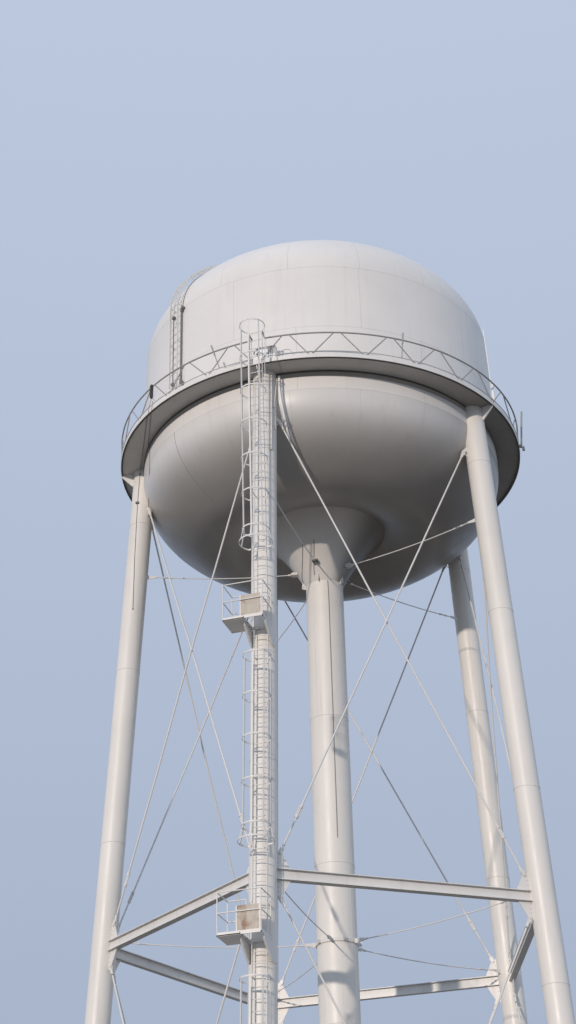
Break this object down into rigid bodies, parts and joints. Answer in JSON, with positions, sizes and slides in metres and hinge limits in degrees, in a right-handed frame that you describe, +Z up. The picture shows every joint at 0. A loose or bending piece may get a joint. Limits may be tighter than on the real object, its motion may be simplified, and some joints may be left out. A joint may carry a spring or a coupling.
{
  "type": "water tower, 1:2 scale model",
  "caption": "Elevated steel water tank with domed roof and round bowl on raked tubular legs braced by crossed rods, with central riser, balcony and caged ladder.",
  "frame": {"origin": "centre of the underside of the riser's base plate, at ground level", "axes": "+Z up along the riser, -Y towards the leg that carries the ladder"},
  "size_m": [8.1962, 8.1292, 20.7725],
  "materials": {
    "tank": "satin off-white enamel, faintly weathered",
    "bowl": "satin off-white enamel, grey with grime underneath",
    "riser": "satin off-white enamel with one welded seam",
    "leg": "satin cream-white enamel",
    "bracing": "satin off-white enamel",
    "balcony": "satin off-white enamel, dark underneath",
    "rail": "off-white enamel",
    "ladder": "off-white enamel",
    "platform": "off-white enamel, stained with rust",
    "fitting": "grey-white enamel"
  },
  "bodies": {
    "root": {"tank_roof": "tank", "tank_shell": "tank", "tank_bowl": "bowl", "riser_bell": "bowl", "riser_pipe": "riser", "roof_vent": "fitting", "roof_hatch": "fitting", "leg_1": "leg", "balcony_bracket_1": "leg", "strut_1": "bracing", "upper_rods_1": "bracing", "lower_rods_1": "bracing", "balcony_floor_1": "balcony", "handrail_1": "rail", "leg_2": "leg", "balcony_bracket_2": "leg", "strut_2": "bracing", "upper_rods_2": "bracing", "lower_rods_2": "bracing", "balcony_floor_2": "balcony", "handrail_2": "rail", "leg_3": "leg", "balcony_bracket_3": "leg", "strut_3": "bracing", "upper_rods_3": "bracing", "lower_rods_3": "bracing", "balcony_floor_3": "balcony", "handrail_3": "rail", "leg_4": "leg", "balcony_bracket_4": "leg", "strut_4": "bracing", "upper_rods_4": "bracing", "lower_rods_4": "bracing", "balcony_floor_4": "balcony", "handrail_4": "rail", "leg_5": "leg", "balcony_bracket_5": "leg", "strut_5": "bracing", "upper_rods_5": "bracing", "lower_rods_5": "bracing", "balcony_floor_5": "balcony", "handrail_5": "rail", "upper_stays": "bracing", "lower_stays": "bracing", "leg_ladder_1": "ladder", "leg_ladder_2": "ladder", "leg_ladder_3": "ladder", "leg_ladder_4": "ladder", "ladder_head": "ladder", "rest_platform_1": "platform", "rest_platform_2": "platform", "rest_platform_3": "platform", "roof_ladder": "rail", "overflow_pipe": "fitting", "balcony_cabinet": "fitting", "balcony_mast": "fitting"}
  },
  "joints": []
}
